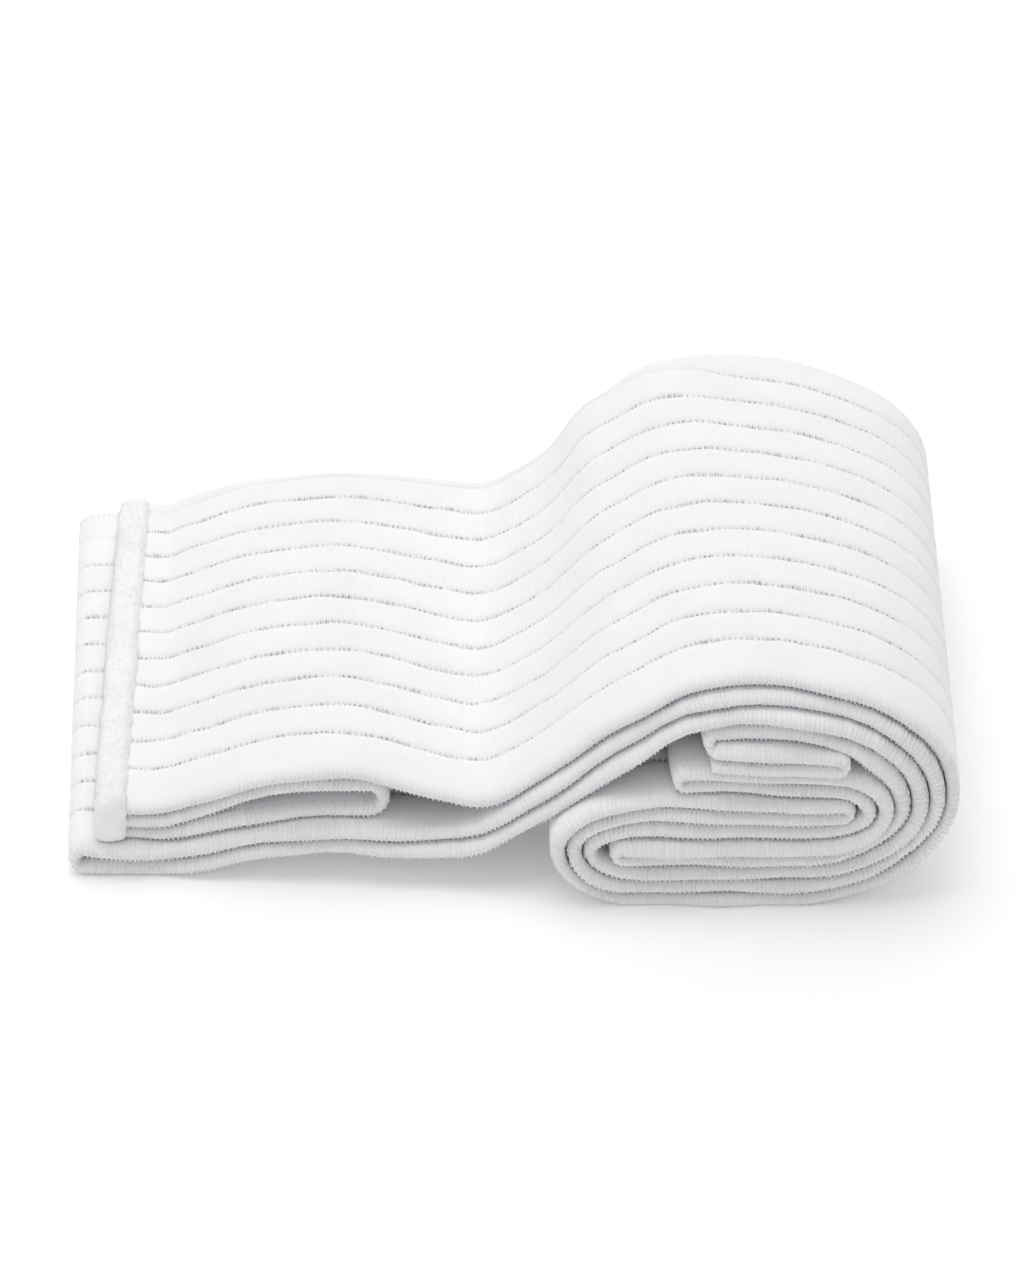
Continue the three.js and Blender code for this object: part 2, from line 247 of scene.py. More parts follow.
class BandageStage(bpy.types.PropertyGroup):
    """The view and the light"""

    elevation: bpy.props.FloatProperty(
        name="Elevation",
        description="Height of the camera above the table",
        default=math.radians(30.0),
        subtype="ANGLE",
    )
    focal_pixels: amount("Focal Length", "Focal length in pixels of the picture", 21550.0)
    scale_pixels: amount("Scale", "Pixels to a millimetre at the near edge", 8.74)
    key: amount("Key", "Strength of the overhead light", 6.0)
    back: amount("Back", "Strength of the light from behind", 3.4)
    front: amount("Front", "Strength of the front light", 1.8)
    ambient: amount("Ambient", "Strength of the light all round", 0.5)
    floor_tone: tone("Floor", "Colour of the floor", (0.95, 0.95, 0.95, 1.0))


def ease(value, begin, end):
    """Smooth step from 0 at begin to 1 at end."""
    share = np.clip((value - begin) / (end - begin), 0.0, 1.0)
    return share * share * (3.0 - 2.0 * share)


def spot(x, edge, z):
    return np.array([x, edge, z], dtype=float)


def quarter(level, tip, roundness):
    """A quarter turn between a point where the strip lies level and a tip where it stands upright."""
    reach = tip - level
    level_handle = level + spot(reach[0] * roundness, 0, 0)
    tip_handle = tip - spot(0, 0, reach[2] * roundness)
    return np.array([level, level_handle, tip_handle, tip])


def run(start, finish):
    """A run that lies level at both of its ends."""
    handle = spot((finish[0] - start[0]) * RUN, 0, 0)
    return np.array([start, start + handle, finish - handle, finish])


def half_turn(start, tip_x, tip_z, finish, start_round=ROUND, finish_round=ROUND):
    tip = spot(tip_x, (start[1] + finish[1]) / 2, tip_z)
    return [quarter(start, tip, start_round), quarter(finish, tip, finish_round)[::-1]]


def through(points):
    """A smooth curve through points, level at its first and last."""
    points = np.array(points)
    slopes = np.zeros_like(points)
    slopes[1:-1] = (points[2:] - points[:-2]) / 2
    slopes[0, 0] = (points[1, 0] - points[0, 0]) / 2
    slopes[-1, 0] = (points[-1, 0] - points[-2, 0]) / 2
    pairs = zip(points[:-1], points[1:], slopes[:-1], slopes[1:])
    return [np.array([a, a + leave / 3, b - arrive / 3, b]) for a, b, leave, arrive in pairs]


def backwards(curves):
    return [curve[::-1] for curve in reversed(curves)]


def on_layer(number, side, x):
    layer = LAYERS[number]
    return spot(x, layer.edge, getattr(layer, side))


def coil_turn(turn):
    def shoulder(number):
        return FULL if turn.side == "right" and number >= FULL_LAYER else ROUND

    start = on_layer(turn.start, turn.side, turn.start_x)
    finish = on_layer(turn.finish, turn.side, turn.finish_x)
    return half_turn(start, turn.tip_x, turn.tip_z, finish, shoulder(turn.start), shoulder(turn.finish))


def long_sheet(name, layer, join_x):
    join = on_layer(layer, "right", join_x)
    points = []
    for row in SHEETS:
        share = ease(row.x, SHEETS[0].x, join[0])
        edge = SHEET_EDGES[name] + (join[1] - SHEET_EDGES[name]) * share
        points.append(spot(row.x, edge, getattr(row, name)))
    return through(points + [join])


def end_run(name):
    return through([spot(row.x, END_EDGES[name], getattr(row, name)) for row in END_RUNS])


def strip_route():
    """The strip's whole route as Bezier curves, outer end first, each with the name of its stretch."""
    route = []

    def follow(name, curves):
        if route and np.linalg.norm(route[-1][1][3] - curves[0][0]) > TINY:
            route.append((name, run(route[-1][1][3], curves[0][0])))
        route.extend((name, curve) for curve in curves)

    lower_run = end_run("lower")
    upper_run = backwards(end_run("upper"))
    top = long_sheet("top", 16, OUTER_TURNS[0].start_x)
    middle = backwards(long_sheet("middle", 15, OUTER_TURNS[-1].finish_x))
    lower = long_sheet("lower", 14, INNER_TURNS[0].start_x)
    follow("end", [run(spot(END_X, END_EDGES["lower"], END_RUNS[0].lower), lower_run[0][0])])
    follow("end", lower_run)
    follow("end", half_turn(lower_run[-1][3], *END_FOLD_TIP, upper_run[0][0]))
    follow("end", upper_run)
    follow("end", half_turn(upper_run[-1][3], *END_TURN_TIP, top[0][0]))
    follow("top", top)
    for number, turn in enumerate(OUTER_TURNS):
        follow("outer" if number < 2 else "coil", coil_turn(turn))
    follow("middle", middle)
    fold_start = spot(LEFT_FOLD.level_x, SHEET_EDGES["middle"], LEFT_FOLD.upper)
    fold_finish = spot(LEFT_FOLD.level_x, SHEET_EDGES["lower"], LEFT_FOLD.lower)
    follow("middle", half_turn(fold_start, LEFT_FOLD.tip_x, LEFT_FOLD.tip_z, fold_finish))
    follow("lower", lower)
    for turn in INNER_TURNS:
        follow("coil", coil_turn(turn))
    inner = LAYERS[INNER_TURNS[-1].finish]
    follow("coil", [run(route[-1][1][3], spot(INNER_END_X, inner.edge, inner.left))])
    return route


class StripPath:
    """The strip's route measured along its length, in millimetres."""

    GRAIN = 0.1

    # Swelling of the knit towards the next layer: the most it swells, the clearance it keeps, how much
    # thinner it may get, and the distances between layers at which it still swells and no longer does
    MOST_SWELL, CLEARANCE, MOST_SQUEEZE = 0.32, 0.09, 0.1
    NEAR_LAYER, FAR_LAYER = 2.2, 3.0

    # Middle and reach of the pocket at the coil's right, where the knit swells further to fill it, and how
    # much is added there to the swelling and to the two distances
    POCKET_X, POCKET_Z, POCKET_REACH = 40.6, 16.9, 2.6
    POCKET_SWELL, POCKET_NEAR, POCKET_FAR = 0.9, 2.0, 2.4

    # The next layer is looked for at every fourth point, at least so far along the strip and so square to the
    # face, and a point that has none counts as this far off. The result is evened over a few points.
    SPARSE, ALONG, SQUARE, NONE_NEAR, EVENED = 4, 4.5, 0.7, 9.0, 5

    # Longest step between sections, and the turn for each step in a bend, in radians, with its least step
    LONGEST_STEP, BEND_TURN, LEAST_STEP = 3.0, 0.26, 0.2

    def __init__(self, half):
        self.half = half
        points, names = [], []
        for name, curve in strip_route():
            steps = max(16, int(np.linalg.norm(curve[3] - curve[0]) / self.GRAIN))
            t = np.linspace(0.0, 1.0, steps, endpoint=False)[:, None]
            a, b, c, d = curve
            points.append((1 - t) ** 3 * a + 3 * (1 - t) ** 2 * t * b + 3 * (1 - t) * t**2 * c + t**3 * d)
            names.extend([name] * steps)
            last = d
        points = np.vstack(points + [last[None, :]])
        steps = np.linalg.norm(np.diff(points[:, [0, 2]], axis=0), axis=1)
        raw = np.concatenate([[0.0], np.cumsum(steps)])
        self.length = raw[-1]
        self.s = np.linspace(0.0, self.length, int(self.length / self.GRAIN))
        self.x, self.edge, self.z = (np.interp(self.s, raw, points[:, i]) for i in range(3))
        along_x = np.gradient(self.x, self.s)
        along_z = np.gradient(self.z, self.s)
        size = np.hypot(along_x, along_z)
        self.out_x, self.out_z = -along_z / size, along_x / size
        angle = np.unwrap(np.arctan2(along_z, along_x))
        self.turn = np.gradient(angle, self.s)
        self.bend = np.abs(self.turn)
        self.stretch = {}
        for name in dict.fromkeys(names):
            places = [raw[i] for i, n in enumerate(names) if n == name]
            self.stretch[name] = (min(places), max(places))

        self.over = self.spare(1.0)
        self.under = self.spare(-1.0)

    def spare(self, side):
        """How much more than half its wall the knit swells on one face, towards the next layer."""
        points = np.stack([self.x, self.z], axis=1)[:: self.SPARSE]
        out = np.stack([self.out_x, self.out_z], axis=1)[:: self.SPARSE] * side
        s = self.s[:: self.SPARSE]
        reach = points[None, :, :] - points[:, None, :]
        distance = np.hypot(reach[..., 0], reach[..., 1])
        lift = reach[..., 0] * out[:, :1] + reach[..., 1] * out[:, 1:]
        facing = (np.abs(s[None, :] - s[:, None]) > self.ALONG) & (lift > self.SQUARE * distance)
        nearest = np.where(facing, distance, self.NONE_NEAR).min(axis=1)
        off = np.hypot(points[:, 0] - self.POCKET_X, points[:, 1] - self.POCKET_Z) / self.POCKET_REACH
        pocket = np.exp(-(off**2))
        most = self.MOST_SWELL + self.POCKET_SWELL * pocket
        near_layer = self.NEAR_LAYER + self.POCKET_NEAR * pocket
        far_layer = self.FAR_LAYER + self.POCKET_FAR * pocket
        fade = 1.0 - ease(nearest, near_layer, far_layer)
        room = np.clip(nearest / 2 - self.half - self.CLEARANCE, -self.MOST_SQUEEZE, most) * fade
        window = 2 * self.EVENED + 1
        padded = np.pad(room, self.EVENED, mode="edge")
        even = np.convolve(padded, np.full(window, 1 / window), mode="valid")
        return np.interp(self.s, s, even)

    def at(self, s):
        """The route's values at places along it."""
        rows = (self.x, self.edge, self.z, self.out_x, self.out_z, self.turn, self.over, self.under)
        return tuple(np.interp(s, self.s, row) for row in rows)

    def stations(self, step_of):
        """Places along the strip, each about step_of(name) apart, and closer in the bends."""
        steps = np.full_like(self.s, self.LONGEST_STEP)
        for name, (low, high) in self.stretch.items():
            steps[(self.s >= low) & (self.s <= high)] = step_of(name)
        in_bends = np.maximum(self.LEAST_STEP, self.BEND_TURN / np.maximum(self.bend, TINY))
        steps = np.minimum(steps, in_bends)
        counts = np.concatenate([[0.0], np.cumsum(np.diff(self.s) / steps[:-1])])
        wanted = np.linspace(0.0, counts[-1], int(counts[-1]) + 1)
        return np.interp(wanted, counts, self.s)


SHEET_X = [row.x for row in SHEETS]
SHEET_MIDDLE = [row.middle for row in SHEETS]
END_RUN_X = [row.x for row in END_RUNS]
END_RUN_LOWER = [row.lower for row in END_RUNS]
TOP_X = SHEET_X + [OUTER_TURNS[0].start_x]
TOP_Z = [row.top for row in SHEETS] + [LAYERS[16].left]
ORIGIN = (
    strip_box[0][0] / MM - (LEFT_FOLD.tip_x - SOLID_WALL / 2),
    strip_box[0][1] / MM - min(layer.edge for layer in LAYERS.values()),
    -(LAYERS[1].left - SOLID_WALL / 2),
)


def margin_at(name, x):
    """One column of the far margin's table at places along X."""
    places = np.array([row.x for row in FAR_MARGIN])
    values = np.array([getattr(row, name) for row in FAR_MARGIN])
    i = np.clip(np.searchsorted(places, x, side="right") - 1, 0, len(places) - 2)
    return values[i] + (values[i + 1] - values[i]) * ease(x, places[i], places[i + 1])


def lay(x, y, z, width, level):
    """Draws in and shifts the far margin, lets it sag, and moves the strip to the part's origin, in metres.

    Level is the height of the layer's middle, which tells what lies above the fold.
    """
    top = np.interp(x, TOP_X, TOP_Z)
    split = (np.interp(x, END_RUN_X, END_RUN_LOWER) + np.interp(x, SHEET_X, SHEET_MIDDLE)) / 2
    above = ease(level, split - UPPER_BLEND, split + UPPER_BLEND)
    share = np.maximum(above, ease(x, UPPER_ALONE, UPPER_SHARED))
    keep = 1.0 + (margin_at("keep", x) - 1.0) * share
    across = np.where(y > GATHER_START, GATHER_START + (y - GATHER_START) * keep, y)
    reach = np.maximum(0.0, (across - SAG_START) / (SAG_WHOLE - SAG_START))
    sag = margin_at("sag", x) * reach**2
    shift = margin_at("shift", x) * (across / width) * share
    laid = [x + shift + ORIGIN[0], across + ORIGIN[1], z * (1.0 - sag / top) + ORIGIN[2]]
    laid[2] = np.maximum(laid[2], 0.0)
    return np.stack(np.broadcast_arrays(*laid), axis=-1) * MM


def sway(s, v, width):
    """Small unevenness of the two selvedges, in millimetres."""
    near = SWAY_LONG * np.sin(s / 3.9 + 1.3) + SWAY_SHORT * np.sin(s / 1.7 + 0.4)
    far = SWAY_LONG * np.sin(s / 4.3 + 2.1) + SWAY_SHORT * np.sin(s / 1.9 + 0.9)
    share = np.clip(v / width, 0.0, 1.0)
    return near * (1.0 - share) ** 3 + far * share**3


def on_cloth(path, s, v, h, width):
    """Points at s along the strip, v across it and h out of its middle surface."""
    x, edge, z, out_x, out_z, turn, over, under = path.at(s)
    swell = np.where(h > 0.0, over, under) * np.minimum(1.0, np.abs(h) / path.half)
    h = h + np.sign(h) * swell
    room = BEND_ROOM / np.maximum(np.abs(turn), TINY)
    h = np.where(turn * h > 0.0, np.clip(h, -room, room), h)
    near = np.clip(1.0 - v / LEAN_REACH, 0.0, 1.0)
    far = np.clip(1.0 - (width - v) / LEAN_REACH, 0.0, 1.0)
    y = edge + v + sway(s, v, width) + LEAN * out_z * h * (near - far)
    return lay(x + out_x * h, y, z + out_z * h, width, z)


def line_places(strip):
    first, pitch = strip.line_margin / MM, strip.line_pitch / MM
    return [first + pitch * k for k in range(strip.line_count)]


def line_wander(s, k):
    """How far ladder line k strays from straight."""
    return WANDER_LONG * np.sin(s / 1.75 + 2.3 * k) + WANDER_SHORT * np.sin(s / 0.83 + 1.7 * k)


def line_open(path, s, k, last):
    """How far ladder line k stands open: a hairline where the strip is steep, wider where it lies level.

    The last line is closed up wherever the far margin is drawn in.
    """
    level = ease(np.abs(np.interp(s, path.s, path.out_z)), STEEP, LEVEL)
    flutter = np.sin(s / 2.9 + 1.9 * k) * np.sin(s / 1.37 + 0.7 * k)
    wide = HAIRLINE + level * (OPENING + FLUTTER * flutter)
    if k == last:
        keep = margin_at("keep", np.interp(s, path.s, path.x))
        wide = wide * np.maximum(SHUT, ease(keep, LAST_SHUT, LAST_WHOLE))
    return wide


def measures(scene):
    """The strip's settings and its path, with its width and half its wall in millimetres."""
    strip = scene.bandage_strip
    half = strip.wall / MM / 2
    return strip, StripPath(half), strip.width / MM, half


def new_mesh(name, verts, faces):
    """A mesh object, with smooth faces, at the origin."""
    mesh = bpy.data.meshes.new(name)
    mesh.from_pydata(np.asarray(verts).tolist(), [], [list(map(int, face)) for face in faces])
    mesh.validate()
    mesh.update()
    mesh.shade_smooth()
    piece = bpy.data.objects.new(name, mesh)
    bpy.context.scene.collection.objects.link(piece)
    return piece


def cloth_map(piece, s, v):
    """A UV map in metres: along the strip, then across it."""
    mesh = piece.data
    corners = np.empty(len(mesh.loops), dtype=np.int32)
    mesh.loops.foreach_get("vertex_index", corners)
    places = np.stack([np.ravel(s)[corners], np.ravel(v)[corners]], axis=1) * MM
    layer = mesh.uv_layers.new(name="cloth")
    layer.data.foreach_set("uv", places.ravel().astype(np.float32))


def small_pieces(name, verts, one, s, v):
    """Joins many copies of one small shape, given as an array of copies by points, into one piece."""
    copies, points = verts.shape[:2]
    faces = [[corner + copy * points for corner in face] for copy in range(copies) for face in one]
    piece = new_mesh(name, verts.reshape(-1, 3), faces)
    cloth_map(piece, s, v)
    return piece


def tube_faces(rings, around, turned=False):
    """Faces of a closed tube with capped ends, turned inside out where its rings run the other way."""
    faces = []
    for r in range(rings - 1):
        for k in range(around):
            a, b = r * around + k, r * around + (k + 1) % around
            faces.append((a, b, b + around, a + around))
    faces.append(tuple(reversed(range(around))))
    faces.append(tuple((rings - 1) * around + k for k in range(around)))
    return [face[::-1] for face in faces] if turned else faces


def finish_piece(piece, material, slot, *nodes):
    """Gives a piece its material and its place in the frame."""
    piece.data.materials.append(material)
    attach(piece, "root")
    if nodes:
        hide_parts(*nodes)


def feed(tree, sockets, values):
    """Links each named socket to another one, or sets it to a plain value."""
    for name, value in values.items():
        if isinstance(value, bpy.types.NodeSocket):
            tree.links.new(value, sockets[name])
        else:
            sockets[name].default_value = value


def maths(tree, operation, *values):
    node = tree.nodes.new("ShaderNodeMath")
    node.operation = operation
    feed(tree, node.inputs, dict(enumerate(values)))
    return node.outputs[0]


def patches(tree, place, scale, detail):
    """Smooth random patches, so many to a metre."""
    node = tree.nodes.new("ShaderNodeTexNoise")
    feed(tree, node.inputs, {"Vector": place, "Scale": scale, "Detail": detail})
    return node.outputs[0]


def stretched(tree, value, low, high, least=0.0, most=1.0):
    """A value spread from the range between low and high to the one between least and most."""
    node = tree.nodes.new("ShaderNodeMapRange")
    ends = {"From Min": low, "From Max": high, "To Min": least, "To Max": most}
    feed(tree, node.inputs, {"Value": value, **ends})
    return node.outputs["Result"]


def blended(tree, share, first, second):
    """A mix of two colours."""
    node = tree.nodes.new("ShaderNodeMix")
    node.data_type = "RGBA"
    feed(tree, node.inputs, {0: share, 6: first, 7: second})
    return node.outputs[2]


def directions(tree, place):
    """The three parts of a place."""
    node = tree.nodes.new("ShaderNodeSeparateXYZ")
    feed(tree, node.inputs, {0: place})
    return node.outputs


def yarn_group():
    """Node group shared by the fabrics: uneven ribs, a fine nap and a faint mottle."""
    group = bpy.data.node_groups.get("Yarn")
    if group:
        return group
    group = bpy.data.node_groups.new("Yarn", "ShaderNodeTree")
    group.interface.new_socket(name="Vector", in_out="INPUT", socket_type="NodeSocketVector")
    numbers = {"INPUT": ("Ribs per Metre", "Nap per Metre", "Rib Depth"), "OUTPUT": ("Height", "Mottle")}
    for way, names in numbers.items():
        for name in names:
            group.interface.new_socket(name=name, in_out=way, socket_type="NodeSocketFloat")
    enter = group.nodes.new("NodeGroupInput").outputs
    leave = group.nodes.new("NodeGroupOutput").inputs
    place = enter["Vector"]
    along, across, out = directions(group, place)

    # The ribs run across the strip and stray a little along it
    drift = maths(group, "MULTIPLY", patches(group, place, 420.0, 1.0), 1.1)
    turns = maths(group, "MULTIPLY", along, enter["Ribs per Metre"])
    wave = maths(group, "SINE", maths(group, "MULTIPLY", maths(group, "ADD", turns, drift), math.tau))
    ribs = maths(group, "MULTIPLY", wave, enter["Rib Depth"])

    # Streaks are patches drawn out across the strip
    drawn_out = group.nodes.new("ShaderNodeCombineXYZ")
    feed(group, drawn_out.inputs, {0: along, 1: maths(group, "MULTIPLY", across, 0.16), 2: out})
    streaks = patches(group, drawn_out.outputs[0], 2300.0, 2.0)
    nap = patches(group, place, enter["Nap per Metre"], 3.0)
    rough = maths(group, "ADD", maths(group, "MULTIPLY", streaks, 1.4), nap)
    blots = maths(group, "MULTIPLY", patches(group, place, 130.0, 4.0), 0.7)
    mottle = maths(group, "ADD", blots, maths(group, "MULTIPLY", streaks, 0.3))
    feed(group, leave, {"Height": maths(group, "ADD", ribs, rough), "Mottle": mottle})
    return group


# How a fabric looks: what share of its colour its darker patches keep, its nap to a metre, the depth of its
# ribs, its relief in millimetres, its sheen, and whether its pattern follows the cloth
Weave = namedtuple("Weave", "shade nap rib_depth relief sheen on_cloth")
KNIT = Weave(shade=0.95, nap=3400.0, rib_depth=0.18, relief=0.038, sheen=0.2, on_cloth=True)
THREAD = Weave(shade=0.93, nap=5200.0, rib_depth=0.2, relief=0.03, sheen=0.2, on_cloth=True)
TAPE = Weave(shade=0.94, nap=2600.0, rib_depth=0.05, relief=0.04, sheen=0.3, on_cloth=False)
TAPE_RIBS = 900.0


def ladder_shade_mask(tree, place, rungs):
    """Where the ladder lines get painted shade: in patches, and between rungs, which are so many to a metre.
    """
    lines = tree.nodes.new("ShaderNodeAttribute")
    lines.attribute_name = "line"
    patch = patches(tree, place, 700.0, 2.0)
    stray = maths(tree, "MULTIPLY", patch, 7.0)
    turns = maths(tree, "MULTIPLY_ADD", directions(tree, place)[0], rungs * math.tau, stray)
    between = stretched(tree, maths(tree, "COSINE", turns), 0.4, -0.6, 0.15)
    laced = maths(tree, "MULTIPLY", lines.outputs["Fac"], between)
    return maths(tree, "MULTIPLY", laced, stretched(tree, patch, 0.38, 0.62, 0.1))


def fabric(name, colour, ribs, weave, deep=None, rungs=0.0):
    """A matte fabric with the yarn group's relief, and with painted shade in its ladder lines if it is given
    a colour for that shade.
    """
    material = bpy.data.materials.new(name)
    material.use_nodes = True
    tree = material.node_tree
    if weave.on_cloth:
        cloth = tree.nodes.new("ShaderNodeUVMap")
        cloth.uv_map = "cloth"
        place = cloth.outputs["UV"]
    else:
        place = tree.nodes.new("ShaderNodeTexCoord").outputs["Object"]
    yarn = tree.nodes.new("ShaderNodeGroup")
    yarn.node_tree = yarn_group()
    pattern = {"Ribs per Metre": ribs, "Nap per Metre": weave.nap, "Rib Depth": weave.rib_depth}
    feed(tree, yarn.inputs, {"Vector": place, **pattern})
    mottle = yarn.outputs["Mottle"]
    darker = tuple(part * weave.shade for part in colour[:3]) + (1.0,)
    base = blended(tree, stretched(tree, mottle, 0.3, 0.6), darker, colour)
    # Painted shade: the ladder lines' openings are coloured with the shade that falls in them
    if deep is not None:
        base = blended(tree, ladder_shade_mask(tree, place, rungs), base, deep)
    bump = tree.nodes.new("ShaderNodeBump")
    relief = {"Strength": 0.8, "Distance": weave.relief * MM}
    feed(tree, bump.inputs, {"Height": yarn.outputs["Height"], **relief})
    look = {
        "Base Color": base,
        "Roughness": stretched(tree, mottle, 0.0, 1.0, 0.85, 1.0),
        "Normal": bump.outputs[0],
        "Sheen Weight": weave.sheen,
        "Sheen Roughness": 0.5,
        "Specular IOR Level": 0.15,
        "Subsurface Weight": 0.12,
        "Subsurface Radius": (1.0, 1.0, 1.0),
        "Subsurface Scale": 0.4 * MM,
    }
    feed(tree, tree.nodes["Principled BSDF"].inputs, look)
    return material


def knit_material(strip):
    existing = bpy.data.materials.get("Ribbed knit")
    if existing:
        return existing
    ribs, rungs = 1.0 / strip.rib_pitch, 1.0 / strip.rung_pitch
    return fabric("Ribbed knit", tuple(strip.knit_tone), ribs, KNIT, tuple(strip.line_shade_tone), rungs)


# A point of the strip's section: place across, share of the groove's half width aside, height, share of the
# groove's depth down, and the number of the ladder line it belongs to
SectionPoint = namedtuple("SectionPoint", "v spread h sink line")


class BANDAGE_OT_strip(bpy.types.Operator):
    """Model the strip: a knit wall along the whole fold route, with grooves for its ladder lines"""

    bl_idname = "bandage.strip"
    bl_label = "Strip"

    # Steps between sections, closest on the stretches that show most
    CLOSE_STEPS = {"top": 0.8, "outer": 1.0}
    PLAIN_STEP = 3.2

    # How the painted shade of a line grows as its groove opens
    DARK_GAIN, DARK_START = 2.2, 0.2

    def execute(self, context):
        strip, path, width, half = measures(context.scene)
        s = path.stations(lambda name: self.CLOSE_STEPS.get(name, self.PLAIN_STEP))
        profile = self.profile(strip, width, half)
        groove, depth = strip.line_half / MM, strip.line_depth / MM
        verts, painted_shades, across = [], [], []
        for row in profile:
            v, h = np.full_like(s, row.v), np.full_like(s, row.h)
            painted_shade = np.zeros_like(s)
            if row.line is not None:
                wide = line_open(path, s, row.line, strip.line_count - 1)
                v = v + line_wander(s, row.line) + row.spread * groove * wide
                h = h - row.sink * depth * wide
                # Painted shade: the more open a groove, the more of the line's shade colour it gets
                painted_shade = np.clip(abs(row.sink) * wide * self.DARK_GAIN - self.DARK_START, 0.0, 1.0)
            verts.append(on_cloth(path, s, v, h, width))
            painted_shades.append(painted_shade)
            across.append(row.v + row.spread * groove)
        verts = np.stack(verts, axis=1)
        piece = new_mesh("strip_cloth", verts.reshape(-1, 3), self.wall_faces(len(s), len(profile)))
        cloth_map(piece, *np.meshgrid(s, np.array(across), indexing="ij"))
        # The line attribute carries this painted shade to the knit's material
        lines = piece.data.attributes.new("line", "FLOAT", "POINT")
        lines.data.foreach_set("value", np.stack(painted_shades, axis=1).ravel().astype(np.float32))
        finish_piece(piece, knit_material(strip), "ribbed_knit", "wrap_strip")
        return {"FINISHED"}

    @staticmethod
    def wall_faces(sections, around):
        """Faces between the sections, and across the section at both ends."""
        faces = []
        for r in range(sections - 1):
            for k in range(around):
                a, b = r * around + k, r * around + (k + 1) % around
                faces.append((a, a + around, b + around, b))
        last = (sections - 1) * around
        for k in range(around // 2 - 1):
            a, b, c, d = k, k + 1, around - 2 - k, around - 1 - k
            faces.append((a, b, c, d))
            faces.append((last + d, last + c, last + b, last + a))
        return faces

    @staticmethod
    def profile(strip, width, half):
        """Points round the strip's section."""
        swell = strip.swell / MM
        places = line_places(strip)
        nose = half * NOSE
        bounds = [nose, *places, width - nose]
        turns = np.radians((0.0, 30.0, 60.0, 90.0))
        edge = [(nose * (1 - math.cos(turn)), half * math.sin(turn)) for turn in turns]
        face = [SectionPoint(v, 0.0, h, 0.0, None) for v, h in edge]
        for k, (low, high) in enumerate(zip(bounds[:-1], bounds[1:])):
            for share, rise in ((0.2, 0.75), (0.5, 1.0), (0.8, 0.75)):
                v = low + (high - low) * share
                face.append(SectionPoint(v, 0.0, half + swell * rise, 0.0, None))
            if k < len(places):
                for spread, sink in ((-1.0, 0.0), (-0.3, 1.0), (0.3, 1.0), (1.0, 0.0)):
                    face.append(SectionPoint(high, spread, half, sink, k))
        face += [SectionPoint(width - v, 0.0, h, 0.0, None) for v, h in reversed(edge)]
        under = [row._replace(h=-row.h, sink=-row.sink) for row in reversed(face[1:-1])]
        return [*face, *under]


class BANDAGE_OT_selvedges(bpy.types.Operator):
    """Wrap both edges of the strip with close ribs"""

    bl_idname = "bandage.selvedges"
    bl_label = "Selvedges"

    # How far in from the edge a rib's feet are, how deep they and its sides sink into the knit, and how much
    # of the pitch it takes up
    FOOT, FOOT_SINK, SIDE_SINK, FULLNESS = 1.7, 0.06, 0.12, 0.96

    # Share of its height that a rib has round the edge, by degrees from the edge, and at its two shoulders
    LIFTS = ((-55.0, 1.0), (-18.0, 0.6), (18.0, 0.6), (55.0, 1.0))
    SHOULDER_LIFT = 0.5

    # On the outer face the ribs are this low from the start of the top sheet to so far past the coil's crest
    CALM, CALM_PAST, CALM_ANGLE = 0.2, 26.0, 20.0

    # Unevenness of the ribs in place, size and slant
    STRAY, LEAST_SIZE, MOST_SIZE, SLANT = 0.08, 0.75, 1.25, 0.12

    def execute(self, context):
        strip, path, width, half = measures(context.scene)
        draw = np.random.default_rng(41)
        for name, far in (("near_selvedge", False), ("far_selvedge", True)):
            s, v, h = self.ribs(strip, path, half, draw)
            v = width - v if far else v
            one = tube_faces(len(self.LIFTS) + 4, 3, turned=not far)
            piece = small_pieces(name, on_cloth(path, s, v, h, width), one, s, v)
            finish_piece(piece, knit_material(strip), "ribbed_knit")
        return {"FINISHED"}

    def ribs(self, strip, path, half, draw):
        """Points of every rib, three to a ring: along the strip, in from its edge and out of it."""
        pitch, proud = strip.rib_pitch / MM, strip.rib_proud / MM
        count = int(path.length / pitch) - 1
        centres = (np.arange(count) + 0.5) * pitch + draw.uniform(-self.STRAY, self.STRAY, count)
        size = draw.uniform(self.LEAST_SIZE, self.MOST_SIZE, count)
        slant = draw.uniform(-self.SLANT, self.SLANT, count)
        calm_start, calm_end = path.stretch["top"][0], path.stretch["outer"][0] + self.CALM_PAST
        calm = np.where((centres > calm_start) & (centres < calm_end), self.CALM, 1.0)
        nose = half * NOSE
        rings = [(self.FOOT, -90.0, None), (nose, -90.0, self.SHOULDER_LIFT)]
        rings += [(None, angle, lift) for angle, lift in self.LIFTS]
        rings += [(nose, 90.0, self.SHOULDER_LIFT), (self.FOOT, 90.0, None)]
        points = []
        for reach, angle, lift in rings:
            turn = math.radians(angle)
            if lift is None:
                crown = -self.FOOT_SINK
            else:
                crown = proud * size * lift * (calm if angle > self.CALM_ANGLE else 1.0)
            for side, height in ((-0.5, -self.SIDE_SINK), (0.0, crown), (0.5, -self.SIDE_SINK)):
                radius = np.full(count, half) + height
                s = centres + slant * angle / 90.0 + side * pitch * self.FULLNESS
                v = np.full(count, reach) if reach else (half - radius * math.cos(turn)) * NOSE
                points.append((s, v, radius * math.sin(turn)))
        return np.array(points).transpose(1, 2, 0)


